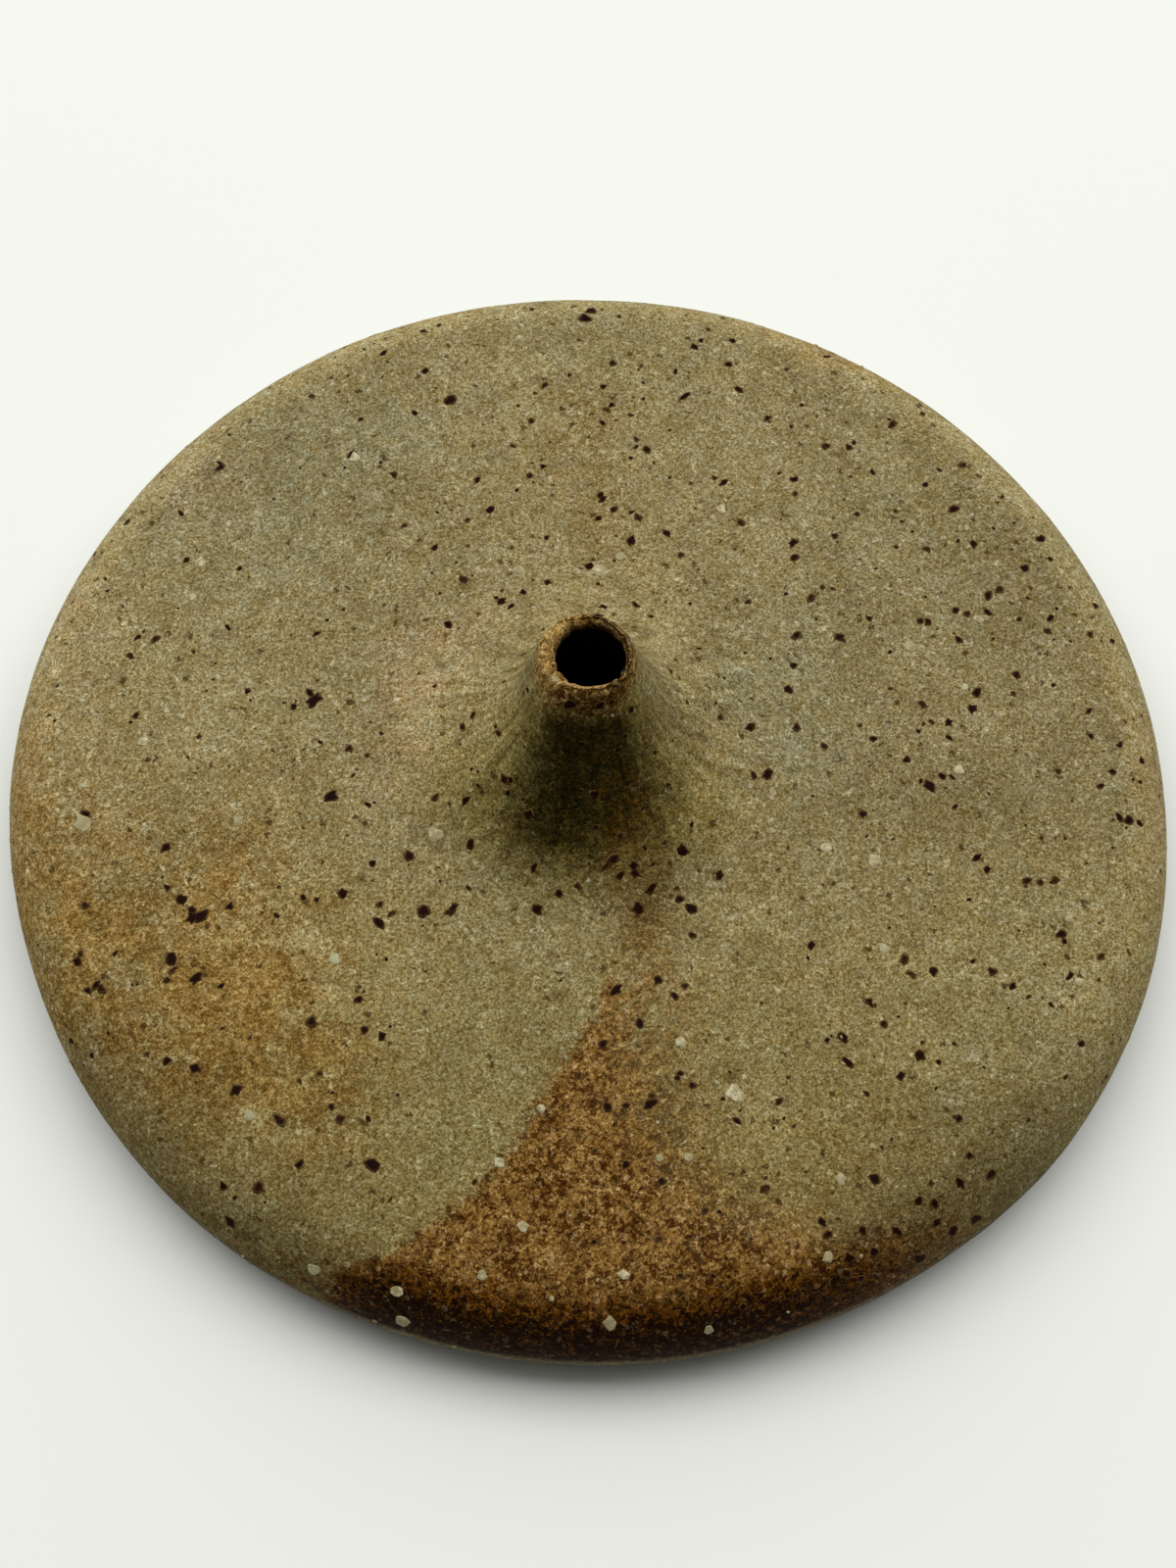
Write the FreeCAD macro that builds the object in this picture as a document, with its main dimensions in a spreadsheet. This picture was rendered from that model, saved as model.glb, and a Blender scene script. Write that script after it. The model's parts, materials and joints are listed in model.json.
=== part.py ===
import FreeCAD, Part
import math
import os

import Sketcher

# Incense stick holder: a low saucer of coarse stoneware, thrown upside up as one hollow top with a
# collared neck, and closed from below with a turned slab.  A stick stands in the bore of the neck.
# Millimetres and degrees.  The origin is the middle of the foot, on the table, and +Z is up.

SIZES = {
    # outside of the thrown top
    "disc_diameter": 101.6,  # across the widest line of the rim
    "overall_height": 28.8,  # table to the top of the lip
    "rim_height": 4.4,  # table to the widest line of the rim
    "shoulder_radius": 6.5,  # rounding from the widest line up to the crown
    "crown_slope": 3.0,  # fall of the crown towards the rim, degrees
    "flare_radius": 14.0,  # hollow sweep from the crown up into the neck
    "neck_lean": 14.5,  # side of the neck, away from upright, degrees
    # lip and inside of the thrown top
    "bore_diameter": 5.5,  # hole that takes the stick
    "lip_wall": 1.3,  # clay between the bore and the outside, at the lip
    "wall_thickness": 3.4,  # clay between the crown and the hollow
    "hollow_corner": 1.2,  # rounding where the hollow's roof meets its side
    "ledge_width": 3.3,  # seat that the slab is luted to
    # slab that closes the top
    "rim_overhang": 6.3,  # widest line in to the edge of the slab
    "slab_thickness": 3.4,
    "foot_height": 0.9,  # how far the slab stands out below the rim
    "foot_width": 4.0,  # ring that the holder stands on
    "foot_recess": 0.7,  # turned hollow inside that ring
    "foot_rounding": 0.3,
    # slip that joins the two
    "slip_thickness": 0.3,  # under the ledge
    "seam_gap": 0.5,  # between the edge of the slab and the rebate
    "slip_clearance": 0.1,  # slip to either side of the seam
    "bead_height": 0.5,  # slip smoothed into the corner outside the slab
    "bead_width": 0.8,
    # grains of feldspar in the clay
    "chip_depth": 1.1,
    "chip_proud": 0.1,
}

# The larger white grains on the crown and the sweep of the neck: distance in from the rim, angle
# round the axis from +X towards +Y, width and number of sides.
CHIPS = [
    (33.7, 86.0, 1.8, 7),
    (32.1, 81.0, 1.0, 5),
    (32.7, 110.0, 1.2, 6),
    (24.3, 63.0, 1.1, 5),
    (14.3, 126.0, 1.2, 6),
    (11.3, 152.0, 1.2, 5),
    (12.5, 179.0, 1.3, 7),
    (7.4, 189.0, 1.8, 6),
    (34.9, 214.0, 1.5, 6),
    (22.4, 223.0, 1.5, 7),
    (8.7, 230.0, 1.2, 5),
    (14.0, 259.0, 1.1, 6),
    (9.4, 263.0, 1.2, 5),
    (18.0, 291.0, 1.7, 7),
    (8.5, 298.0, 1.1, 6),
    (20.2, 323.0, 1.1, 5),
    (24.5, 336.0, 1.5, 6),
    (19.0, 356.0, 1.2, 7),
    (21.0, 19.0, 1.1, 5),
    (14.0, 20.0, 1.1, 6),
]

# Sizes that follow from the ones above.
FOLLOWING = {
    "disc_radius": "disc_diameter / 2",
    "bore_radius": "bore_diameter / 2",
    "lip_radius": "lip_wall / 2",
    "lip_centre_radius": "bore_radius + lip_radius",
    "lip_centre_height": "overall_height - lip_radius",
    "shoulder_centre_radius": "disc_radius - shoulder_radius",
    "crown_edge_radius": "shoulder_centre_radius + shoulder_radius * sin(crown_slope)",
    "crown_edge_height": "rim_height + shoulder_radius * cos(crown_slope)",
    # The sweep's centre lies one sweep radius away from the crown and from the side of the neck.
    "swept_crown_height": "crown_edge_height + crown_edge_radius * tan(crown_slope)"
    " + flare_radius / cos(crown_slope)",
    "flare_centre_radius": "(flare_radius + lip_radius + lip_centre_radius * cos(neck_lean)"
    " - (swept_crown_height - lip_centre_height) * sin(neck_lean))"
    " / (cos(neck_lean) - tan(crown_slope) * sin(neck_lean))",
    "flare_centre_height": "swept_crown_height - flare_centre_radius * tan(crown_slope)",
    "flare_end_radius": "flare_centre_radius - flare_radius * sin(crown_slope)",
    "inner_flare_radius": "flare_radius + wall_thickness",
    "bore_bottom": "flare_centre_height"
    " - sqrt(inner_flare_radius ^ 2 - (flare_centre_radius - bore_radius) ^ 2)",
    "slab_radius": "disc_radius - rim_overhang",
    "rebate_radius": "slab_radius + seam_gap",
    "ledge_height": "slab_thickness + slip_thickness",
    "hollow_radius": "rebate_radius - ledge_width",
    "recess_radius": "slab_radius - foot_width",
}

START = 1
END = 2
CENTRE = 3
ORIGIN = (-1, 1)
SAME_PLACE = 0.001


def make_sheet(document):
    """Write the driving sizes, the grains and the sizes that follow from them."""
    sheet = document.addObject("Spreadsheet::Sheet", "Sizes")
    rows = {name: str(value) for name, value in SIZES.items()}
    for number, (inset, angle, width, _) in enumerate(CHIPS, 1):
        rows[f"chip_inset_{number}"] = str(inset)
        rows[f"chip_angle_{number}"] = str(angle)
        rows[f"chip_width_{number}"] = str(width)
    rows.update({name: "=" + formula for name, formula in FOLLOWING.items()})
    for row, (name, content) in enumerate(rows.items(), 1):
        sheet.set(f"A{row}", name)
        sheet.set(f"B{row}", content)
        sheet.setAlias(f"B{row}", name)
    document.recompute()
    return sheet


def origin_plane(body, role):
    """Find one of a body's own base planes."""
    return next(plane for plane in body.Origin.OriginFeatures if plane.Role == role)


class Outline:
    """A sketch of joined lines and arcs whose sizes come from the sheet."""

    def __init__(self, body, name, role="XZ_Plane"):
        self.sketch = body.newObject("Sketcher::SketchObject", name)
        self.sketch.AttachmentSupport = [(origin_plane(body, role), "")]
        self.sketch.MapMode = "FlatFace"

    def line(self, first, last):
        first_point = FreeCAD.Vector(first[0], first[1], 0)
        last_point = FreeCAD.Vector(last[0], last[1], 0)
        return self.sketch.addGeometry(Part.LineSegment(first_point, last_point), False)

    def arc(self, centre, radius, first_angle, last_angle):
        circle = self.circle_curve(centre, radius)
        curve = Part.ArcOfCircle(circle, math.radians(first_angle), math.radians(last_angle))
        return self.sketch.addGeometry(curve, False)

    def circle(self, centre, radius):
        return self.sketch.addGeometry(self.circle_curve(centre, radius), False)

    def circle_curve(self, centre, radius):
        middle = FreeCAD.Vector(centre[0], centre[1], 0)
        return Part.Circle(middle, FreeCAD.Vector(0, 0, 1), radius)

    def relate(self, kind, *elements):
        """Add a relation that has no size, such as a tangent."""
        self.sketch.addConstraint(Sketcher.Constraint(kind, *elements))

    def size(self, name, formula, kind, *elements):
        """Add a dimension that follows a formula of the sheet."""
        number = self.sketch.addConstraint(Sketcher.Constraint(kind, *elements))
        self.sketch.renameConstraint(number, name)
        self.sketch.setExpression("Constraints." + name, formula)


def polygon_outline(body, name, points, sheet):
    """Sketch a closed polygon whose corners are pairs of cell names or formulas."""
    outline = Outline(body, name)
    places = [(evaluate(sheet, across), evaluate(sheet, up)) for across, up in points]
    sides = []
    for number, place in enumerate(places):
        sides.append(outline.line(place, places[(number + 1) % len(places)]))
    for number, side in enumerate(sides):
        outline.relate("Coincident", side, END, sides[(number + 1) % len(sides)], START)
    for number, (side, (across, up)) in enumerate(zip(sides, points)):
        place = places[number]
        outline.size(f"across_{number}", on_sheet(across), "DistanceX", *ORIGIN, side, START, place[0])
        outline.size(f"up_{number}", on_sheet(up), "DistanceY", *ORIGIN, side, START, place[1])
    return outline


def on_sheet(formula):
    """Turn a sum of cell names into an expression that other objects can use."""
    return " ".join("Sizes." + word if word[0].isalpha() else word for word in formula.split())


def evaluate(sheet, formula):
    """Work out a sum of cell names with the sheet's present values."""
    total = 0.0
    sign = 1
    for word in formula.split():
        if word in ("+", "-"):
            sign = 1 if word == "+" else -1
        else:
            total += sign * getattr(sheet, word)
    return total


def revolve(body, outline, name):
    """Turn an outline once round the upright axis."""
    feature = body.newObject("PartDesign::Revolution", name)
    feature.Profile = outline.sketch
    feature.ReferenceAxis = (outline.sketch, ["V_Axis"])
    feature.Angle = 360
    outline.sketch.Visibility = False
    return feature


def make_top_form(document, sheet):
    """The thrown top: rolled lip, neck, sweep, crown, rounded rim, rebate and hollow."""
    body = document.addObject("PartDesign::Body", "top_form")
    outline = Outline(body, "top_outline")
    lean = sheet.neck_lean
    slope = sheet.crown_slope
    lip_centre = (sheet.lip_centre_radius, sheet.lip_centre_height)
    flare_centre = (sheet.flare_centre_radius, sheet.flare_centre_height)
    shoulder_centre = (sheet.shoulder_centre_radius, sheet.rim_height)
    under_radius = sheet.rim_height - sheet.foot_height
    under_centre = (sheet.disc_radius - under_radius, sheet.rim_height)

    lip_outside = polar(lip_centre, sheet.lip_radius, lean)
    lip_inside = (sheet.bore_radius, sheet.lip_centre_height)
    flare_top = polar(flare_centre, sheet.flare_radius, 180 + lean)
    flare_end = polar(flare_centre, sheet.flare_radius, 270 - slope)
    crown_edge = (sheet.crown_edge_radius, sheet.crown_edge_height)
    under_end = (under_centre[0], sheet.foot_height)
    rebate_foot = (sheet.rebate_radius, sheet.foot_height)
    rebate_top = (sheet.rebate_radius, sheet.ledge_height)
    ledge_inside = (sheet.hollow_radius, sheet.ledge_height)
    corner = sheet.hollow_corner
    corner_across = sheet.hollow_radius - corner
    roof_at_corner = roof_height(sheet, corner_across) - corner / math.cos(math.radians(slope))
    corner_centre = (corner_across, roof_at_corner)
    roof_outside = polar(corner_centre, corner, 90 - slope)
    roof_inside = polar(flare_centre, sheet.inner_flare_radius, 270 - slope)
    bore_foot = (sheet.bore_radius, sheet.bore_bottom)
    drop = math.atan2(flare_centre[1] - bore_foot[1], flare_centre[0] - bore_foot[0])

    lip = outline.arc(lip_centre, sheet.lip_radius, lean, 180)
    neck = outline.line(lip_outside, flare_top)
    flare = outline.arc(flare_centre, sheet.flare_radius, 180 + lean, 270 - slope)
    crown = outline.line(flare_end, crown_edge)
    shoulder = outline.arc(shoulder_centre, sheet.shoulder_radius, 0, 90 - slope)
    under = outline.arc(under_centre, under_radius, 270, 360)
    underside = outline.line(under_end, rebate_foot)
    rebate = outline.line(rebate_foot, rebate_top)
    ledge = outline.line(rebate_top, ledge_inside)
    side = outline.line(ledge_inside, (sheet.hollow_radius, roof_at_corner))
    hollow_corner = outline.arc(corner_centre, corner, 0, 90 - slope)
    roof = outline.line(roof_outside, roof_inside)
    inner_flare = outline.arc(
        flare_centre, sheet.inner_flare_radius, 180 + math.degrees(drop), 270 - slope
    )
    bore = outline.line(bore_foot, lip_inside)

    outline.relate("Tangent", lip, START, neck, START)
    outline.relate("Tangent", neck, END, flare, START)
    outline.relate("Tangent", flare, END, crown, START)
    outline.relate("Tangent", crown, END, shoulder, END)
    outline.relate("Tangent", shoulder, START, under, END)
    outline.relate("Tangent", under, START, underside, START)
    outline.relate("Coincident", underside, END, rebate, START)
    outline.relate("Coincident", rebate, END, ledge, START)
    outline.relate("Coincident", ledge, END, side, START)
    outline.relate("Tangent", side, END, hollow_corner, START)
    outline.relate("Tangent", hollow_corner, END, roof, START)
    outline.relate("Tangent", roof, END, inner_flare, END)
    outline.relate("Coincident", inner_flare, START, bore, START)
    outline.relate("Tangent", bore, END, lip, END)
    outline.relate("Coincident", flare, CENTRE, inner_flare, CENTRE)
    outline.relate("Parallel", roof, crown)
    outline.relate("Horizontal", underside)
    outline.relate("Horizontal", ledge)
    outline.relate("Vertical", rebate)
    outline.relate("Vertical", side)
    outline.relate("Vertical", bore)

    outline.size("lip_radius", "Sizes.lip_radius", "Radius", lip, sheet.lip_radius)
    outline.size("flare_radius", "Sizes.flare_radius", "Radius", flare, sheet.flare_radius)
    outline.size("shoulder_radius", "Sizes.shoulder_radius", "Radius", shoulder, sheet.shoulder_radius)
    outline.size("hollow_corner", "Sizes.hollow_corner", "Radius", hollow_corner, corner)
    outline.size(
        "inner_flare_radius",
        "Sizes.inner_flare_radius",
        "Radius",
        inner_flare,
        sheet.inner_flare_radius,
    )
    outline.size("neck_lean", "Sizes.neck_lean - 90", "Angle", neck, math.radians(lean - 90))
    outline.size("crown_slope", "-Sizes.crown_slope", "Angle", crown, math.radians(-slope))
    across = {
        "bore_radius": (bore, START),
        "shoulder_centre_radius": (shoulder, CENTRE),
        "rebate_radius": (rebate, START),
        "hollow_radius": (side, START),
    }
    for name, (element, point) in across.items():
        value = getattr(sheet, name)
        outline.size(name, "Sizes." + name, "DistanceX", *ORIGIN, element, point, value)
    up = {
        "lip_centre_height": ("lip_centre_height", lip, CENTRE),
        "shoulder_centre_height": ("rim_height", shoulder, CENTRE),
        "widest_line_height": ("rim_height", shoulder, START),
        "foot_height": ("foot_height", underside, START),
        "ledge_height": ("ledge_height", ledge, START),
    }
    for name, (cell, element, point) in up.items():
        value = getattr(sheet, cell)
        outline.size(name, "Sizes." + cell, "DistanceY", *ORIGIN, element, point, value)
    revolve(body, outline, "thrown_wall")
    return body


def polar(centre, radius, angle):
    """The point at an angle on a circle."""
    turn = math.radians(angle)
    return (centre[0] + radius * math.cos(turn), centre[1] + radius * math.sin(turn))


def roof_height(sheet, radius):
    """Height of the hollow's roof at a distance from the axis."""
    slope = math.radians(sheet.crown_slope)
    crown = sheet.crown_edge_height + (sheet.crown_edge_radius - radius) * math.tan(slope)
    return crown - sheet.wall_thickness / math.cos(slope)


def make_slab(document, sheet):
    """The turned slab that closes the hollow and stands on a low ring."""
    body = document.addObject("PartDesign::Body", "base_slab")
    disc = Outline(body, "slab_outline", "XY_Plane")
    edge = disc.circle((0, 0), sheet.slab_radius)
    disc.relate("Coincident", edge, CENTRE, *ORIGIN)
    disc.size("slab_radius", "Sizes.slab_radius", "Radius", edge, sheet.slab_radius)
    pad = body.newObject("PartDesign::Pad", "slab_disc")
    pad.Profile = disc.sketch
    pad.setExpression("Length", "Sizes.slab_thickness")

    hollow = Outline(body, "recess_outline", "XY_Plane")
    ring = hollow.circle((0, 0), sheet.recess_radius)
    hollow.relate("Coincident", ring, CENTRE, *ORIGIN)
    hollow.size("recess_radius", "Sizes.recess_radius", "Radius", ring, sheet.recess_radius)
    recess = body.newObject("PartDesign::Pocket", "foot_recess")
    recess.Profile = hollow.sketch
    recess.Reversed = True
    recess.setExpression("Length", "Sizes.foot_recess")
    document.recompute()
    check_recess(sheet, pad, recess)

    foot_edges = []
    for number, curve in enumerate(recess.Shape.Edges, 1):
        if abs(curve.BoundBox.ZMax) < SAME_PLACE:
            foot_edges.append(f"Edge{number}")
    rounding = body.newObject("PartDesign::Fillet", "foot_edges")
    rounding.Base = (recess, foot_edges)
    rounding.setExpression("Radius", "Sizes.foot_rounding")
    body.Tip = rounding
    return body


def check_recess(sheet, pad, recess):
    """Stop if the recess took away another amount of clay than its size says."""
    expected = math.pi * sheet.recess_radius**2 * sheet.foot_recess
    removed = pad.Shape.Volume - recess.Shape.Volume
    if abs(removed - expected) > SAME_PLACE * expected:
        raise ValueError(f"the foot recess removed {removed:.1f} instead of {expected:.1f}")


def make_slip(document, sheet):
    """Dried slip: a layer under the ledge, the filling of the seam and a bead below the rim."""
    body = document.addObject("PartDesign::Body", "luting_slip")
    corners = [
        ("hollow_radius", "slab_thickness"),
        ("slab_radius + slip_clearance", "slab_thickness"),
        ("slab_radius + slip_clearance", "foot_height - bead_height"),
        ("rebate_radius + bead_width", "foot_height"),
        ("rebate_radius - slip_clearance", "foot_height"),
        ("rebate_radius - slip_clearance", "ledge_height"),
        ("hollow_radius", "ledge_height"),
    ]
    outline = polygon_outline(body, "slip_outline", corners, sheet)
    revolve(body, outline, "slip_ring")
    return body


def make_chips(document):
    """Angular grains that lie square to the surface, each sunk into a pocket of its own shape."""
    chips = []
    for number, (_, _, _, sides) in enumerate(CHIPS, 1):
        chip = document.addObject("Part::Prism", f"chip_{number}")
        chip.Polygon = sides
        chip.setExpression("Circumradius", f"Sizes.chip_width_{number} / 2")
        chip.setExpression("Height", "Sizes.chip_depth")
        chip.setExpression("Placement", chip_placement(number))
        chips.append(chip)
    group = document.addObject("Part::Compound", "feldspar_chips")
    group.Links = chips
    return group


def chip_placement(number):
    """The place and tilt of one grain on the crown or on the sweep of the neck."""
    radius = f"(Sizes.disc_radius - Sizes.chip_inset_{number})"
    angle = f"Sizes.chip_angle_{number}"
    on_flare = f"{radius} < Sizes.flare_end_radius"
    inward = f"(Sizes.flare_centre_radius - {radius})"
    flare_height = f"Sizes.flare_centre_height - sqrt(Sizes.flare_radius ^ 2 - {inward} ^ 2)"
    crown_rise = f"(Sizes.crown_edge_radius - {radius}) * tan(Sizes.crown_slope)"
    crown_height = f"Sizes.crown_edge_height + {crown_rise}"
    height = f"({on_flare} ? {flare_height} : {crown_height})"
    tilt = f"({on_flare} ? asin({inward} / Sizes.flare_radius) : Sizes.crown_slope * 1 deg)"
    sunk = "(Sizes.chip_depth - Sizes.chip_proud)"
    across = f"({radius} - {sunk} * sin({tilt}))"
    place = f"vector({across} * cos({angle}); {across} * sin({angle}); {height} - {sunk} * cos({tilt}))"
    turn = f"rotation(vector(-sin({angle}); cos({angle}); 0); {tilt})"
    return f"placement({place}; {turn})"


def check_document(document, nodes):
    """Stop if any object failed, or if a node's shape is empty or broken."""
    for item in document.Objects:
        if "Invalid" in item.State or "Error" in item.State:
            raise ValueError(f"{item.Name} failed: {item.State}")
    for node in nodes:
        if node.Shape.isNull() or not node.Shape.isValid():
            raise ValueError(f"{node.Label} has no valid shape")


def main():
    document = FreeCAD.newDocument("incense_stick_holder")
    sheet = make_sheet(document)
    top_form = make_top_form(document, sheet)
    slab = make_slab(document, sheet)
    slip = make_slip(document, sheet)
    chips = make_chips(document)
    document.recompute()

    top = document.addObject("Part::Cut", "thrown_top")
    top.Base = top_form
    top.Tool = chips
    document.recompute()

    nodes = [top, slab, slip, chips]
    check_document(document, nodes)
    os.makedirs("parts", exist_ok=True)
    for node in nodes:
        node.Label = node.Name
        node.Shape.exportStep(os.path.join("parts", node.Label + ".step"))
        box = node.Shape.BoundBox
        print(
            f"{node.Label}: {len(node.Shape.Solids)} solids, {node.Shape.Volume:.1f} mm3,"
            f" z {box.ZMin:.2f} to {box.ZMax:.2f}"
        )
    print(f"bore {sheet.bore_diameter:.2f} wide, {sheet.overall_height - sheet.bore_bottom:.2f} deep")
    print(f"sweep centre {sheet.flare_centre_radius:.3f}, {sheet.flare_centre_height:.3f}")
    print(f"hollow: roof {roof_height(sheet, sheet.hollow_radius):.2f} above the table at its side")


main()
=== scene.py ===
import json
import random
from bisect import bisect_left
from functools import partialmethod
from math import atan2, cos, degrees, exp, hypot, pi, radians, sin, sqrt, tan

import bpy
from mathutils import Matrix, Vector, noise
from mathutils.bvhtree import BVHTree


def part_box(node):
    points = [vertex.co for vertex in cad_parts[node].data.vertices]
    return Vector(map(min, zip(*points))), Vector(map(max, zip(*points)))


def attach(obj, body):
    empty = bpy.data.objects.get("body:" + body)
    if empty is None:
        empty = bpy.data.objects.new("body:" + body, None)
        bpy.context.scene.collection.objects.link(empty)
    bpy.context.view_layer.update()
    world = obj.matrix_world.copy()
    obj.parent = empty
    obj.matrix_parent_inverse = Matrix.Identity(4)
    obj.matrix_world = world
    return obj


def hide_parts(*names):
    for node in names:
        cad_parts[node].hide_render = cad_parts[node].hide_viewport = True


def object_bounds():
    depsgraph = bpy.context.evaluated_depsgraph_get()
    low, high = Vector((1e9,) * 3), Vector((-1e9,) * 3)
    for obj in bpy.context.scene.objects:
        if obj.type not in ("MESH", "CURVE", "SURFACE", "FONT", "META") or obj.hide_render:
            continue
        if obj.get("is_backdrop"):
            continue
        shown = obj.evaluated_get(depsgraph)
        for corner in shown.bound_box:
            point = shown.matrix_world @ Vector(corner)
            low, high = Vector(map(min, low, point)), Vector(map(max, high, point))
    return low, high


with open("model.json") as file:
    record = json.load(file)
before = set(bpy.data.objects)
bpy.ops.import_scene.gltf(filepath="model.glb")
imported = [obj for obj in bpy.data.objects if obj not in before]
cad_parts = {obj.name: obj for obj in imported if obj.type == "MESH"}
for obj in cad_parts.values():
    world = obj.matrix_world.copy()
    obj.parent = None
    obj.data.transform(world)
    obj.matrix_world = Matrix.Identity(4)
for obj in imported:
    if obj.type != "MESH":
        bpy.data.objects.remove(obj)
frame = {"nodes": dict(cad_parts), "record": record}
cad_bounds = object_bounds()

# The incense stick holder: coarse wood-fired stoneware, thrown and collared by hand.  Shapes are
# written in millimetres and degrees and become metres when a mesh is made.  The viewer of the
# photograph looks along +Y and down.
MM = 0.001
SEED = 7
scene = bpy.context.scene
RANDOM_SPOTS = 1150  # tries for a small iron spot; where they are sparse, many are dropped
RANDOM_CHIPS = 130  # small feldspar grains

# --- sizes of the solid model ---
TOP_LOW, TOP_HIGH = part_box("thrown_top")
_, SLAB_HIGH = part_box("base_slab")
_, SLIP_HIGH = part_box("luting_slip")
BORE = next(mount for mount in frame["record"]["mounts"] if mount["name"] == "stick_bore")

RIM_RADIUS = TOP_HIGH.x / MM
LIP_TOP = TOP_HIGH.z / MM
FOOT_HEIGHT = TOP_LOW.z / MM
BORE_RADIUS = BORE["dims"]["r_mm"]
SLAB_RADIUS = SLAB_HIGH.x / MM
SLAB_THICKNESS = SLAB_HIGH.z / MM
LEDGE_HEIGHT = SLIP_HIGH.z / MM

RIM_HEIGHT = 4.4
SHOULDER = 6.5
CROWN_SLOPE = 3.0
FLARE = 14.0
NECK_LEAN = 14.5
LIP_WALL = 1.3
WALL = 3.4
HOLLOW_CORNER = 1.2
LEDGE_WIDTH = 3.3
SEAM_GAP = 0.5
SLIP_CLEARANCE = 0.1
BEAD_HEIGHT = 0.5
BEAD_WIDTH = 0.8
FOOT_WIDTH = 4.0
FOOT_RECESS = 0.7
FOOT_ROUNDING = 0.3

# --- camera of the photograph ---
PHOTO_WIDTH = 1200
PHOTO_HEIGHT = 1600
LENS = 46.8
SENSOR = 36.0
PITCH = 65.9
CAMERA_DISTANCE = 186.0
TARGET_Y = 1.66

# --- light and floor ---
WINDOW_RISE = 71.5
WINDOW_TURN = -3.0
WINDOW_DISTANCE = 0.65
WINDOW_SIZE = (1.38, 0.37)
WINDOW_POWER = 4.2
ROOM_RISE = 45.0
ROOM_RAMP = (0.2, 1.0, 0.0, 1.07)  # from and to along the direction, and the strengths there
FLOOR_COLOUR = (0.848, 0.868, 0.812)
FLOOR_HALF = 900.0
FLOOR_FADE = (130.0, 480.0)  # the floor turns into plain white between these radii

# --- how the hand made it differ from the solids ---
OVAL = 0.33  # out of round at the rim
LOBES = ((329, 30, 0.36), (276, 45, -0.28), (178, 30, 0.22))  # angle, half width, bulge of the rim
BORE_SHIFT = 0.16  # bore off the middle of the lip
# below BORE_SHOWN the bore is painted near-black: painted shade
BORE_SHOWN = 0.9  # depth from the lip down to which the bore has the clay's colour
TURNING_PITCH = 1.9  # between the rings that the turning tool left on the slab
TURNING_DEPTH = 0.07
AROUND = 448  # steps of the top round the axis
SLAB_AROUND = 256
SLIP_AROUND = 360


def polar(centre, radius, angle):
    turn = radians(angle)
    return (centre[0] + radius * cos(turn), centre[1] + radius * sin(turn))


def arc(centre, radius, first, last, steps):
    """Points along an arc, without the last one."""
    return [polar(centre, radius, first + (last - first) * k / steps) for k in range(steps)]


def line(first, last, steps):
    """Points along a straight run, without the last one."""
    points = []
    for k in range(steps):
        share = k / steps
        points.append(tuple(a + (b - a) * share for a, b in zip(first, last)))
    return points


def smooth(value, low, high):
    """0 below low, 1 above high, and an even S between them."""
    share = min(max((value - low) / (high - low), 0.0), 1.0)
    return share * share * (3 - 2 * share)


# --- meshes ---
def make_object(name, vertices, faces, material, shaded_smooth=True):
    mesh = bpy.data.meshes.new(name)
    mesh.from_pydata([tuple(c * MM for c in vertex) for vertex in vertices], [], faces)
    mesh.materials.append(material)
    mesh.polygons.foreach_set("use_smooth", [shaded_smooth] * len(mesh.polygons))
    mesh.update()
    piece = bpy.data.objects.new(name, mesh)
    scene.collection.objects.link(piece)
    return piece


def turned_mesh(profile, around, place):
    """Turn a closed profile round the axis; place(index, angle) gives each vertex."""
    count = len(profile)
    vertices = []
    faces = []
    for index in range(count):
        low, high = index * around, (index + 1) % count * around
        for step in range(around):
            beside = (step + 1) % around
            vertices.append(place(index, 2 * pi * step / around))
            faces.append((low + step, high + step, high + beside, low + beside))
    return vertices, faces


def profile_normals(profile):
    """Outward unit normals of a closed clockwise profile."""
    normals = []
    count = len(profile)
    for index in range(count):
        before = profile[index - 1]
        after = profile[(index + 1) % count]
        along = (after[0] - before[0], after[1] - before[1])
        length = hypot(*along) or 1.0
        normals.append((-along[1] / length, along[0] / length))
    return normals


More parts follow.
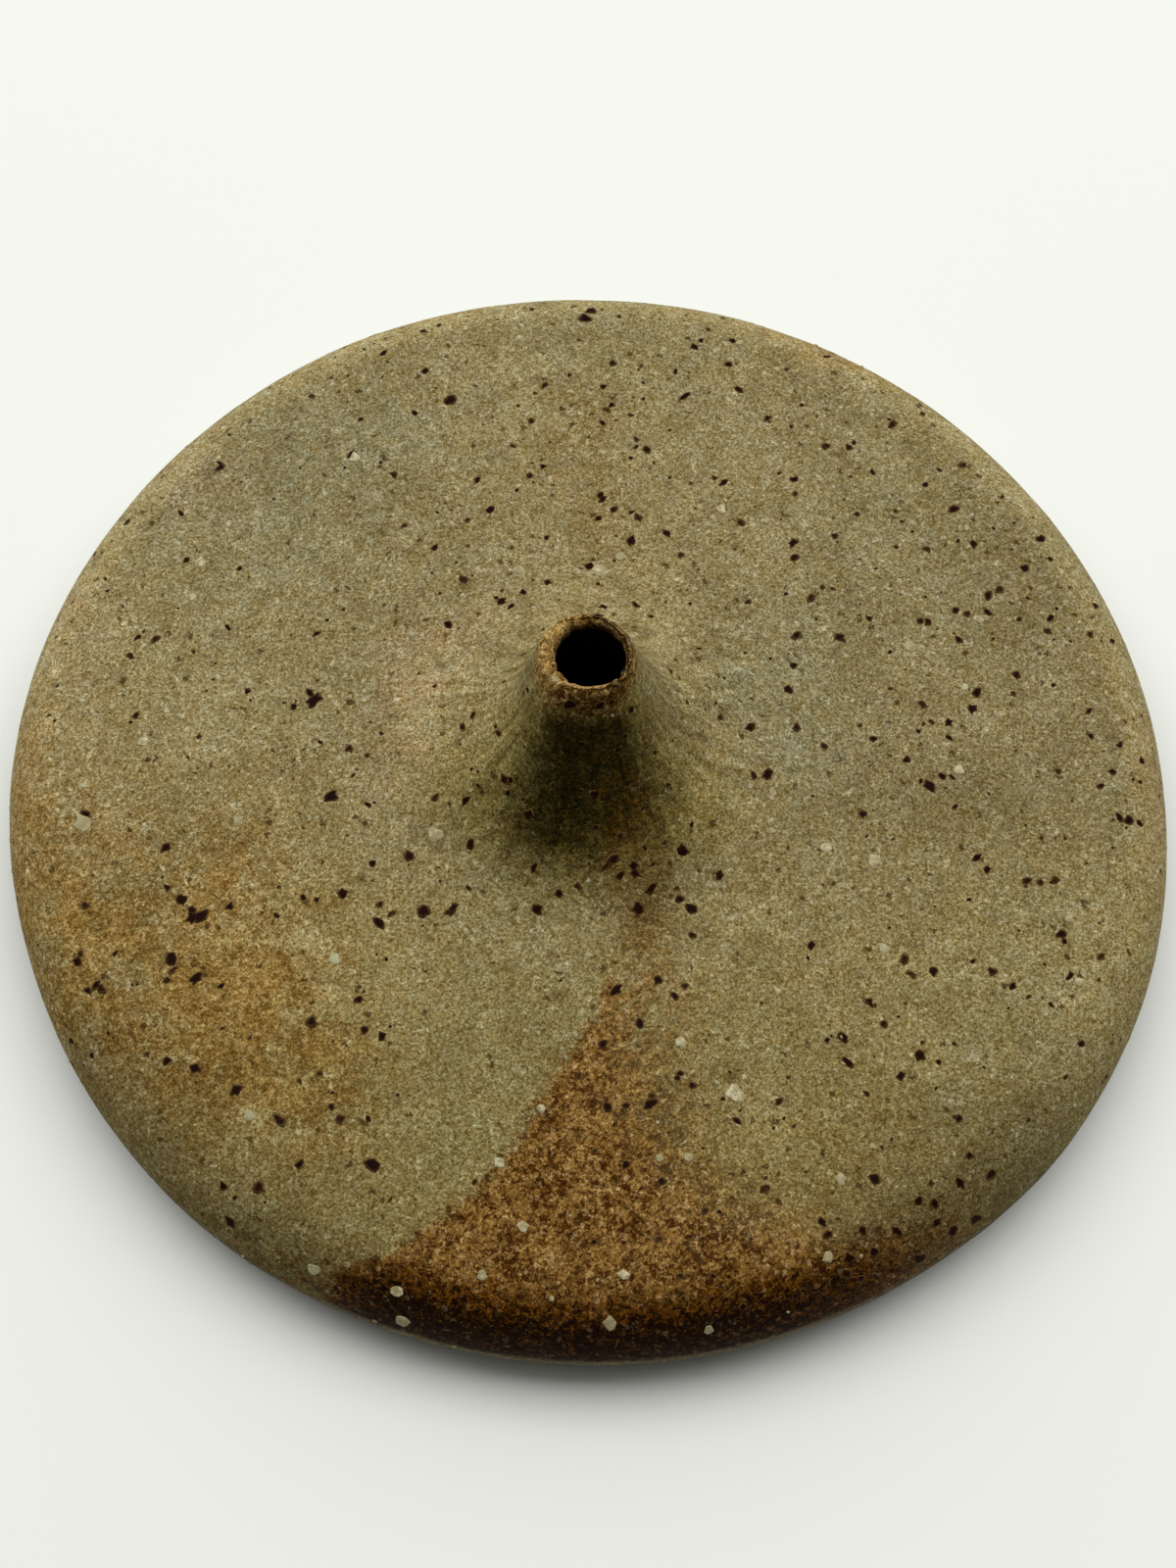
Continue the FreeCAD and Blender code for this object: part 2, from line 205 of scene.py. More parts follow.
# --- the thrown top ---
class TopProfile:
    """The section of the thrown top, from the foot of the bore round the outside and back."""

    def __init__(self):
        lip_radius = LIP_WALL / 2
        slope = radians(CROWN_SLOPE)
        lean = radians(NECK_LEAN)
        lip = (BORE_RADIUS + lip_radius, LIP_TOP - lip_radius)
        shoulder = (RIM_RADIUS - SHOULDER, RIM_HEIGHT)
        edge = polar(shoulder, SHOULDER, 90 - CROWN_SLOPE)
        swept = edge[1] + edge[0] * tan(slope) + FLARE / cos(slope)
        reach = FLARE + lip_radius + lip[0] * cos(lean) - (swept - lip[1]) * sin(lean)
        flare_radius = reach / (cos(lean) - tan(slope) * sin(lean))
        flare = (flare_radius, swept - flare_radius * tan(slope))
        under_radius = RIM_HEIGHT - FOOT_HEIGHT
        under = (RIM_RADIUS - under_radius, RIM_HEIGHT)
        rebate = SLAB_RADIUS + SEAM_GAP
        hollow = rebate - LEDGE_WIDTH
        inner_flare = FLARE + WALL
        bore_foot = flare[1] - sqrt(inner_flare**2 - (flare[0] - BORE_RADIUS) ** 2)
        drop = degrees(atan2(flare[1] - bore_foot, flare[0] - BORE_RADIUS))
        corner_across = hollow - HOLLOW_CORNER
        roof = edge[1] + (edge[0] - corner_across) * tan(slope)
        corner = (corner_across, roof - (WALL + HOLLOW_CORNER) / cos(slope))
        roof_edge = polar(corner, HOLLOW_CORNER, 90 - CROWN_SLOPE)
        flare_top, flare_end = 180 + NECK_LEAN, 270 - CROWN_SLOPE

        runs = [
            ("bore", line((BORE_RADIUS, bore_foot), (BORE_RADIUS, lip[1]), 14)),
            ("lip", arc(lip, lip_radius, 180, NECK_LEAN, 14)),
            ("neck", line(polar(lip, lip_radius, NECK_LEAN), polar(flare, FLARE, flare_top), 16)),
            ("flare", arc(flare, FLARE, flare_top, flare_end, 46)),
            ("crown", line(polar(flare, FLARE, flare_end), edge, 42)),
            ("shoulder", arc(shoulder, SHOULDER, 90 - CROWN_SLOPE, 0, 26)),
            ("under", arc(under, under_radius, 360, 270, 12)),
            ("underside", line((under[0], FOOT_HEIGHT), (rebate, FOOT_HEIGHT), 4)),
            ("inside", line((rebate, FOOT_HEIGHT), (rebate, LEDGE_HEIGHT), 2)),
            ("inside", line((rebate, LEDGE_HEIGHT), (hollow, LEDGE_HEIGHT), 2)),
            ("inside", line((hollow, LEDGE_HEIGHT), (hollow, corner[1]), 2)),
            ("inside", arc(corner, HOLLOW_CORNER, 0, 90 - CROWN_SLOPE, 4)),
            ("inside", line(roof_edge, polar(flare, inner_flare, flare_end), 8)),
            ("inside", arc(flare, inner_flare, flare_end, 180 + drop, 16)),
        ]
        self.points = []
        self.parts = []
        for part, points in runs:
            self.points.extend(points)
            self.parts.extend([part] * len(points))
        self.normals = profile_normals(self.points)


# Small losses on the inner edge of the lip: angle, width in degrees, depth.
LIP_CHIPS = [(-38, 9, 0.28), (28, 7, 0.14), (118, 10, 0.2), (205, 8, 0.16), (236, 6, 0.12)]


def angle_gap(first, second):
    """Smallest difference of two angles in degrees."""
    return abs((first - second + 180) % 360 - 180)


def lip_unevenness(part, angle):
    """How far the lip's edge stands in or out, and up or down, at an angle."""
    turned = Vector((cos(angle) * 1.6, sin(angle) * 1.6, 4.0))
    inward = noise.noise(turned) * 0.16
    up = noise.noise(turned * 1.3 + Vector((9, 0, 0))) * 0.16
    inward += noise.noise(turned * 6.0) * 0.05
    if part in ("bore", "lip"):
        for centre, width, depth in LIP_CHIPS:
            gap = angle_gap(degrees(angle), centre)
            inward += depth * (1 - smooth(gap, 0.3 * width, width))
    return inward, up


def out_of_round(angle):
    """How far the rim stands out at an angle."""
    bulge = -OVAL * sin(2 * angle)
    for centre, width, height in LOBES:
        bulge += height * (1 - smooth(angle_gap(degrees(angle), centre), 0.25 * width, width))
    return bulge


def place_top(section, index, angle):
    """A vertex of the thrown top, with the unevenness of the hand in it."""
    radius, height = section.points[index]
    part = section.parts[index]
    c, s = cos(angle), sin(angle)
    if part == "inside":
        return (radius * c, radius * s, height)
    across, up = section.normals[index]
    spot = Vector((radius * c, radius * s, height))
    push = noise.noise(spot / 15.0) * 0.09 + noise.noise(spot / 4.0) * 0.035
    push += noise.noise(spot / 1.4 + Vector((3, 1, 2))) * 0.012
    on_flare = smooth(radius, 4.2, 6.5) * (1 - smooth(radius, 11.0, 17.0))
    if on_flare > 0 and part in ("neck", "flare"):
        pleats = Vector((c * 13, s * 13, height / 9 + radius / 7))
        push += noise.noise(pleats) * 0.06 * on_flare
        push += noise.noise(pleats * 2.3) * 0.03 * on_flare
    # nothing stands out past the solid's widest line, its lip or its foot
    inset = 0.05 * (1 - smooth(RIM_RADIUS - radius, 0.0, 6.0))
    radius += (push - inset) * across
    height += (push - 0.02) * up
    outside = 1 - smooth(SLAB_RADIUS + 2.5 - radius, 0.0, 1.0) if part == "underside" else 1.0
    radius += out_of_round(angle) * smooth(radius, 8.0, 42.0) * outside
    near_lip = smooth(height, LIP_TOP - 6.0, LIP_TOP - 0.4)
    inward, rise = lip_unevenness(part, angle)
    if part == "bore" or (part == "lip" and across < 0):
        radius += inward * near_lip
        shift = BORE_SHIFT * near_lip
    else:
        radius += (0.6 * inward - 0.25) * near_lip
        shift = -BORE_SHIFT * near_lip
    height = min(height + (rise - 0.08) * near_lip, LIP_TOP)
    return (radius * c + shift, radius * s, max(height, FOOT_HEIGHT))


# --- camera rays ---
def camera_axes():
    """Place of the camera and its forward and up directions, in millimetres."""
    pitch = radians(PITCH)
    forward = Vector((0, cos(pitch), -sin(pitch)))
    up = Vector((0, sin(pitch), cos(pitch)))
    return Vector((0, TARGET_Y, 0)) - forward * CAMERA_DISTANCE, forward, up


def photo_ray(across, down):
    """Start and direction of the camera's ray through a pixel of the photograph."""
    place, forward, up = camera_axes()
    pixels = LENS / SENSOR * PHOTO_HEIGHT
    right = Vector((1, 0, 0))
    direction = forward + right * ((across - PHOTO_WIDTH / 2) / pixels)
    direction -= up * ((down - PHOTO_HEIGHT / 2) / pixels)
    return place, direction.normalized()


class Surface:
    """The finished clay surface, for whatever sits in it."""

    def __init__(self, vertices, faces, outside):
        self.tree = BVHTree.FromPolygons([Vector(v) for v in vertices], faces)
        self.vertices = vertices
        self.faces = [face for face, shown in zip(faces, outside) if shown]
        self.sums = []
        total = 0.0
        for face in self.faces:
            a, b, c, d = (Vector(vertices[k]) for k in face)
            total += ((c - a).cross(d - b)).length / 2
            self.sums.append(total)

    def at_pixel(self, across, down):
        """Place and normal where the photograph shows a pixel of the clay."""
        return self.tree.ray_cast(*photo_ray(across, down))[:2]

    def at_nearest(self, point):
        return self.tree.find_nearest(point)[:2]

    def anywhere(self, chance):
        """A point picked evenly over the outside."""
        face = self.faces[bisect_left(self.sums, chance.random() * self.sums[-1])]
        a, b, c, d = (Vector(self.vertices[k]) for k in face)
        s, t = chance.random(), chance.random()
        place = (a * (1 - s) + b * s) * (1 - t) + (d * (1 - s) + c * s) * t
        normal = (c - a).cross(d - b).normalized()
        return place, normal


# --- grains and iron spots ---
class GrainBed:
    """Many small closed bodies that sit in the clay surface, joined in one mesh."""

    def __init__(self):
        self.vertices = []
        self.faces = []

    def add(self, spot, rings, sides, chance, raggedness, stretch=1.0):
        """Add one body; rings are (share of the outline, height) pairs from the bottom up."""
        place, normal = spot
        across = normal.orthogonal().normalized()
        along = normal.cross(across)
        turn = chance.random() * 2 * pi
        outline = []
        for side in range(sides):
            angle = turn + 2 * pi * side / sides + chance.uniform(-0.2, 0.2) / sides * 3
            reach = 1 + chance.uniform(-raggedness, raggedness)
            outline.append((cos(angle) * reach * stretch, sin(angle) * reach / stretch))
        first = len(self.vertices)
        bottom = place + normal * (rings[0][1] - 0.02)
        self.vertices.append(tuple(bottom))
        for size, height in rings:
            for x, y in outline:
                lift = height * (1 + chance.uniform(-0.25, 0.25))
                point = place + across * (x * size) + along * (y * size) + normal * lift
                self.vertices.append(tuple(point))
        last = len(self.vertices)
        self.vertices.append(tuple(place + normal * (rings[-1][1] * 1.1)))
        for side in range(sides):
            beside = (side + 1) % sides
            self.faces.append((first, first + 1 + beside, first + 1 + side))
            for ring in range(len(rings) - 1):
                low = first + 1 + ring * sides
                high = low + sides
                self.faces.append((low + side, low + beside, high + beside, high + side))
            top = last - sides
            self.faces.append((top + side, top + beside, last))


def feldspar_rings(width):
    half = width / 2
    return [(half * 0.7, -0.35), (half, -0.06), (half * 0.92, 0.05), (half * 0.55, 0.09)]


def iron_rings(width):
    half = width / 2
    return [(half, -0.1), (half * 1.45, 0.004), (half, 0.015), (half * 0.55, 0.024)]


IRON_CORE = (0.0, 0.0, 0.0, 0.6, 1.0, 1.0)  # how black the bottom, each ring and the top are


# Feldspar grains besides those of the solid model: pixel of the photograph, width in 0.1 mm.
SMALL_CHIPS = [
    (633, 568, 10), (755, 350, 9), (832, 358, 10), (306, 472, 10), (234, 534, 9), (196, 609, 10),
    (86, 801, 9), (244, 837, 10), (320, 1295, 13), (405, 1317, 12), (410, 1347, 17), (492, 1301, 9),
    (622, 1350, 14), (636, 1300, 11), (673, 1181, 8), (703, 1180, 8), (723, 1357, 9), (845, 1283, 12),
    (694, 1064, 10), (552, 1131, 9), (1101, 1002, 9), (1091, 938, 8), (1026, 502, 11), (1000, 498, 8),
    (985, 701, 9), (566, 693, 7), (843, 865, 10),
]

# The larger iron spots: pixel of the photograph, width in 0.1 mm.
IRON_SPOTS = [
    (857, 650, 8), (949, 802, 9), (880, 831, 6), (947, 634, 6), (978, 653, 6), (973, 520, 7),
    (946, 560, 6), (982, 474, 6), (910, 433, 7), (866, 456, 6), (992, 723, 7), (968, 737, 6),
    (941, 718, 6), (1037, 689, 6), (1034, 708, 5), (1072, 630, 6), (1069, 644, 6), (1112, 647, 6),
    (1135, 654, 5), (1118, 618, 6), (1008, 608, 7), (1020, 601, 7), (1008, 625, 6), (1080, 787, 5),
    (1135, 787, 5), (1142, 834, 6), (1152, 837, 8), (1163, 840, 6), (997, 875, 6), (1007, 887, 6),
    (1076, 898, 6), (460, 408, 9), (603, 317, 8), (597, 325, 9), (338, 812, 9), (320, 715, 10),
    (316, 707, 6), (350, 912, 7), (205, 935, 11), (196, 936, 8), (186, 918, 7), (176, 978, 8),
    (170, 1083, 6), (380, 1187, 9), (235, 1247, 8), (264, 1212, 8), (663, 1127, 8), (706, 927, 9),
    (887, 1023, 6), (582, 719, 9), (612, 720, 6), (624, 716, 5), (515, 795, 8), (521, 796, 5),
    (539, 831, 7), (607, 811, 8), (626, 877, 9), (618, 884, 6), (647, 883, 6), (648, 891, 7),
    (665, 906, 8), (696, 868, 9), (734, 893, 7), (765, 742, 8), (735, 732, 6), (472, 742, 6),
    (512, 613, 7), (534, 604, 6), (472, 591, 7), (480, 861, 7), (545, 885, 6), (590, 904, 5),
    (548, 928, 7), (463, 926, 6), (1012, 1198, 7), (938, 1077, 8), (861, 1058, 7), (241, 1112, 8),
    (432, 930, 8), (387, 941, 8), (88, 831, 7), (804, 703, 7), (644, 551, 8), (629, 1010, 7),
    (285, 1143, 8), (1083, 953, 7), (651, 528, 7), (652, 927, 9), (699, 404, 7), (103, 1008, 7),
    (198, 1090, 7), (738, 493, 6), (418, 873, 8), (865, 1084, 6), (813, 648, 7), (780, 1213, 6),
    (200, 998, 8), (922, 979, 7), (169, 865, 7), (783, 790, 7), (306, 1188, 6), (810, 489, 6),
    (318, 1042, 7), (754, 397, 6), (615, 509, 6), (675, 1205, 6), (615, 1065, 6), (688, 1016, 6),
    (357, 764, 6), (390, 1057, 6), (843, 455, 6), (653, 1044, 6), (620, 1129, 6), (809, 554, 7),
    (402, 484, 6), (708, 354, 6), (671, 1000, 6), (841, 761, 6), (556, 393, 6), (542, 430, 6),
    (783, 427, 6), (457, 637, 6), (1062, 550, 8), (444, 559, 6), (795, 1124, 6), (864, 1299, 8),
    (956, 1247, 7), (892, 1277, 7), (892, 1202, 7), (867, 1284, 7), (938, 1284, 9), (972, 1256, 9),
    (989, 1179, 6), (880, 1255, 7), (996, 1244, 9), (845, 1260, 6), (915, 1256, 7), (980, 1207, 7),
    (954, 1228, 7), (839, 1247, 6), (594, 759, 5.5), (631, 765, 6), (593, 807, 5), (565, 801, 4),
    (653, 812, 4), (608, 844, 4), (682, 801, 3.5), (668, 768, 3.5), (656, 769, 3), (706, 841, 4),
    (678, 859, 3.5), (658, 865, 3.5), (538, 704, 4), (514, 696, 3.5), (664, 629, 4.5), (713, 662, 4),
    (689, 673, 3), (668, 705, 3), (704, 616, 3), (506, 741, 3.5),
]


def cad_grains():
    """Middle and width of each feldspar grain of the solid model."""
    mesh = frame["nodes"]["feldspar_chips"].data
    home = {}
    groups = {}
    for face in mesh.polygons:
        points = [mesh.vertices[k].co / MM for k in face.vertices]
        keys = [tuple(round(c, 2) for c in point) for point in points]
        met = {home[key] for key in keys if key in home}
        name = min(met, default=face.index)
        joined = dict(zip(keys, points))
        for other in met:
            joined.update(groups.pop(other))
        groups[name] = joined
        home.update({key: name for key in joined})
    grains = []
    for joined in groups.values():
        middle = sum(joined.values(), Vector()) / len(joined)
        width = 2 * max(hypot(p.x - middle.x, p.y - middle.y) for p in joined.values())
        grains.append((middle, width))
    return grains


# --- zones of colour ---
# Soft patches on the top, seen from above: middle x and y, half sizes, turn, strength.
WARM = [
    (-34, -17, 15, 13, 25, 1.0), (-26, -29, 13, 8, -35, 0.75), (-47, -6, 5, 15, 8, 0.6),
    (0, 31, 5, 8, 0, 0.6), (2, 18, 5, 5, 0, 0.35), (47, 2, 3, 16, 8, 0.35),
    (24, 42, 15, 4, -30, 0.5), (22, -36, 9, 5, 30, 0.4),
]
PINK = [
    (-46, 12, 4, 14, 15, 0.6), (-38, 30, 6, 14, 42, 0.5), (-15, 3, 6, 9, -20, 0.65),
    (22, 46, 12, 3, -25, 0.4), (49, -6, 2, 14, 0, 0.7), (-10, 12, 7, 5, 40, 0.5),
]
GREY = [
    (-24, 27, 16, 9, 40, 0.8), (15, 3, 6, 9, 0, 0.8), (20, 24, 14, 8, -40, 0.3),
    (-9, -33, 7, 12, -30, 0.3), (34, -24, 12, 9, 40, 0.5), (40, 6, 9, 16, 0, 0.3),
]
STREAK = [
    (3.6, -10.5, 3.0, 4.5, 12, 1.0), (4.6, -16, 2.4, 4.0, -5, 0.8),
    (3.9, -21.5, 2.0, 4.0, 5, 0.45), (0.5, 24, 2.5, 7, 0, 0.3),
]
LIGHT = [
    (37, -21, 8, 8, 0, 0.16), (38, 16, 9, 10, 0, -0.15), (25, -3, 10, 10, 0, -0.1),
    (38, -3, 7, 6, 0, -0.1), (0, 37, 9, 6, 0, 0.08), (-25, -20, 8, 8, 0, 0.14),
    (-45, -19, 5, 8, 0, 0.2),
]


def total(patches, x, y):
    """Strength of some patches together at a point."""
    strength = 0
    for middle_x, middle_y, half_x, half_y, turn, share in patches:
        across, along = x - middle_x, y - middle_y
        c, s = cos(radians(turn)), sin(radians(turn))
        u = (across * c + along * s) / half_x
        v = (along * c - across * s) / half_y
        strength += share * exp(-(u * u + v * v))
    return strength


# The brown flash: for some distances from the axis, the angles of its crisp and its soft side.
FLASH_RADII = (19.8, 26.5, 31.5, 36.5, 41.0, 45.5, 48.5)
FLASH_CRISP = (276.0, 267.0, 262.5, 259.5, 255.0, 250.5, 246.0)
FLASH_SOFT = (284.0, 281.0, 281.0, 282.5, 287.0, 293.5, 305.0)
FLASH_TIP = (17.5, 22.0)


def between(radius, values):
    """A value read off FLASH_RADII's scale."""
    if radius <= FLASH_RADII[0]:
        return values[0]
    for k in range(1, len(FLASH_RADII)):
        if radius <= FLASH_RADII[k]:
            share = (radius - FLASH_RADII[k - 1]) / (FLASH_RADII[k] - FLASH_RADII[k - 1])
            return values[k - 1] + (values[k] - values[k - 1]) * share
    return values[-1]


def flash_depth(radius, turned):
    """Millimetres inside the crisp side and inside the soft side of the flash."""
    crisp = radians((turned - between(radius, FLASH_CRISP) + 180) % 360 - 180) * radius
    soft = radians((between(radius, FLASH_SOFT) - turned + 180) % 360 - 180) * radius
    before_tip = 6 * (1 - smooth(radius, *FLASH_TIP))
    return crisp - before_tip, soft - before_tip


def rim_band_and_shade(radius, turned):
    """Strength of the dark rim band, partly the brown of the fire and partly painted shade: broad on
    the near rim, where shade falls, and thinning out round the sides.
    """
    core = smooth(turned, 242, 252) * (1 - smooth(turned, 283, 308))
    wide = smooth(turned, 200, 250) * (1 - smooth(turned, 288, 325))
    band = smooth(radius, 44.3, 48.8) + 0.7 * smooth(radius, 47.6, 49.4)
    edge = smooth(radius, 46.8, 50.2)
    return max(core * band, 0.5 * wide * edge)


def neck_shade(radius, height, turned):
    """Strength of the painted shade on the near side of the neck: a dark green where the neck's
    shadow falls.
    """
    if radius > 20 or radius < BORE_RADIUS + 0.5:
        return 0.0
    right = 7 * (1 - smooth(radius, 7, 11)) if 266 < turned < 360 else 0
    side = 1 - smooth(angle_gap(turned, 266), 16 + right, 64 + right)
    return side * smooth(LIP_TOP - height, 1.0, 4.0) * (1 - smooth(radius, 8.5, 16.5))


def tone_and_light(radius, turned):
    """How much lighter or darker than its colour the clay is made: partly its fired tone, partly
    painted light on the far rim and the neck's flanks and painted shade on the near rim and the near
    side.
    """
    far_rim = smooth(angle_gap(turned, 265), 62, 80) * smooth(radius, 44.8, 47.6)
    left = smooth(turned, 196, 222) * (1 - smooth(turned, 244, 256))
    right = smooth(turned, 288, 300) * (1 - smooth(turned, 312, 330))
    near_rim = max(left, 1.6 * right) * smooth(radius, 37, 47)
    near = (1 - smooth(angle_gap(turned, 265), 60, 100)) * smooth(radius, 16, 34)
    flank = (1 - smooth(angle_gap(turned, 174), 14, 44)) * smooth(radius, 4.8, 6.2)
    flank += 0.6 * (1 - smooth(angle_gap(turned, 345), 12, 30)) * smooth(radius, 9, 11)
    flank *= 1 - smooth(radius, 13, 20)
    warm = (1 - smooth(angle_gap(turned, 195), 25, 55)) * smooth(radius, 15, 28)
    return 1 + 0.27 * far_rim - 0.2 * near_rim - 0.05 * near + 0.28 * flank + 0.12 * warm


def shade_yellowing(radius, turned):
    """How much blue is taken out of the clay's colour, a painted shade tint: most near the viewer and
    below the lip, where shade falls.
    """
    near = max(0.0, -sin(radians(turned))) * smooth(radius, 2, 40)
    neck = (1 - smooth(radius, 11, 16)) * (1 - smooth(angle_gap(turned, 265), 50, 95))
    return min(1.0, 0.6 * near + 0.85 * neck)


def lip_cover(height, turned):
    """Where the brown of the lip lies, which has run down on the near side."""
    near = 1 - smooth(angle_gap(turned, 262), 25, 85)
    return smooth(height, LIP_TOP - 2.1 - 2.6 * near, LIP_TOP - 0.8)


def lip_gold_and_light(radius, turned):
    """How golden the lip is: most on its left, least on the outside of its near part; on the near
    part the bright edge at the bore is painted light and the dark outside is painted shade.
    """
    left = 1 - smooth(angle_gap(turned, 178), 40, 75)
    near = 1 - smooth(angle_gap(turned, 275), 35, 60)
    outer = smooth(radius, BORE_RADIUS + 0.15, BORE_RADIUS + 0.6)
    return max(0.8 * left, 0.6 + 0.7 * near * (1 - outer) - 0.3 * near * outer)


ZONES = (
    "warm", "pink", "grey", "streak", "rim_shade_band", "neck_shade", "tone_and_light", "shade_yellowing", "lip_cover", "lip_gold_and_light",
    "flash_crisp", "flash_soft", "inside",
)


def write_layer(piece, name, numbers):
    """Give each vertex of a piece a number that its material can read."""
    layer = piece.data.attributes.new(name, "FLOAT", "POINT")
    layer.data.foreach_set("value", numbers)


def paint_zones(piece, section):
    """Write the colour zones of the top to the mesh, as values for its material."""
    rows = []
    for (radius, height), part in zip(section.points, section.parts):
        # the inside is hidden; the bore below BORE_SHOWN gets painted shade
        hidden_or_shaded = part == "inside" or (part == "bore" and height < LIP_TOP - BORE_SHOWN)
        for step in range(AROUND):
            turned = 360 * step / AROUND
            x, y = polar((0, 0), radius, turned)
            row = [total(patches, x, y) for patches in (WARM, PINK, GREY, STREAK)]
            row += [rim_band_and_shade(radius, turned), neck_shade(radius, height, turned)]
            row += [tone_and_light(radius, turned) + total(LIGHT, x, y), shade_yellowing(radius, turned)]
            row += [lip_cover(height, turned), lip_gold_and_light(radius, turned)]
            row += [*flash_depth(radius, turned), float(hidden_or_shaded)]
            rows.append(row)
    for name, numbers in zip(ZONES, zip(*rows)):
        write_layer(piece, name, numbers)


# --- materials ---
class Nodes:
    """A tree of shader nodes, built one small step at a time."""

    def __init__(self, tree):
        self.tree = tree

    def feed(self, socket, value):
        """Link a socket, or set its number or colour."""
        if isinstance(value, bpy.types.NodeSocket):
            self.tree.links.new(value, socket)
        elif isinstance(value, tuple) and len(value) == 3 and socket.type == "RGBA":
            socket.default_value = (*value, 1.0)
        else:
            socket.default_value = value

    def node(self, kind, inputs, output, **settings):
        """Add a node, set it up, feed its inputs and give one of its outputs."""
        node = self.tree.nodes.new("ShaderNode" + kind)
        for name, value in settings.items():
            setattr(node, name, value)
        for name, value in inputs.items():
            self.feed(node.inputs[name], value)
        return node.outputs[output]

    def math(self, operation, first, second):
        return self.node("Math", {0: first, 1: second}, 0, operation=operation)

    plus = partialmethod(math, "ADD")
    minus = partialmethod(math, "SUBTRACT")
    times = partialmethod(math, "MULTIPLY")
    larger = partialmethod(math, "MAXIMUM")

    def vector(self, operation, *inputs, output="Vector"):
        return self.node("VectorMath", dict(enumerate(inputs)), output, operation=operation)

    def show(self, usual, other, where):
        """Send a surface or background to the output, and another one where a factor is 1."""
        both = self.node("MixShader", {"Fac": where, 1: usual, 2: other}, "Shader")
        output = next(node for node in self.tree.nodes if node.name.endswith("Output"))
        self.feed(output.inputs["Surface"], both)

    def scaled(self, place, scale):
        return self.node("VectorMath", {0: place, "Scale": scale}, "Vector", operation="SCALE")

    def smooth(self, value, low, high, start=0.0, end=1.0):
        """The start below low, the end above high, and an even S between them."""
        names = ("Value", "From Min", "From Max", "To Min", "To Max")
        inputs = dict(zip(names, (value, low, high, start, end)))
        return self.node("MapRange", inputs, "Result", interpolation_type="SMOOTHSTEP")


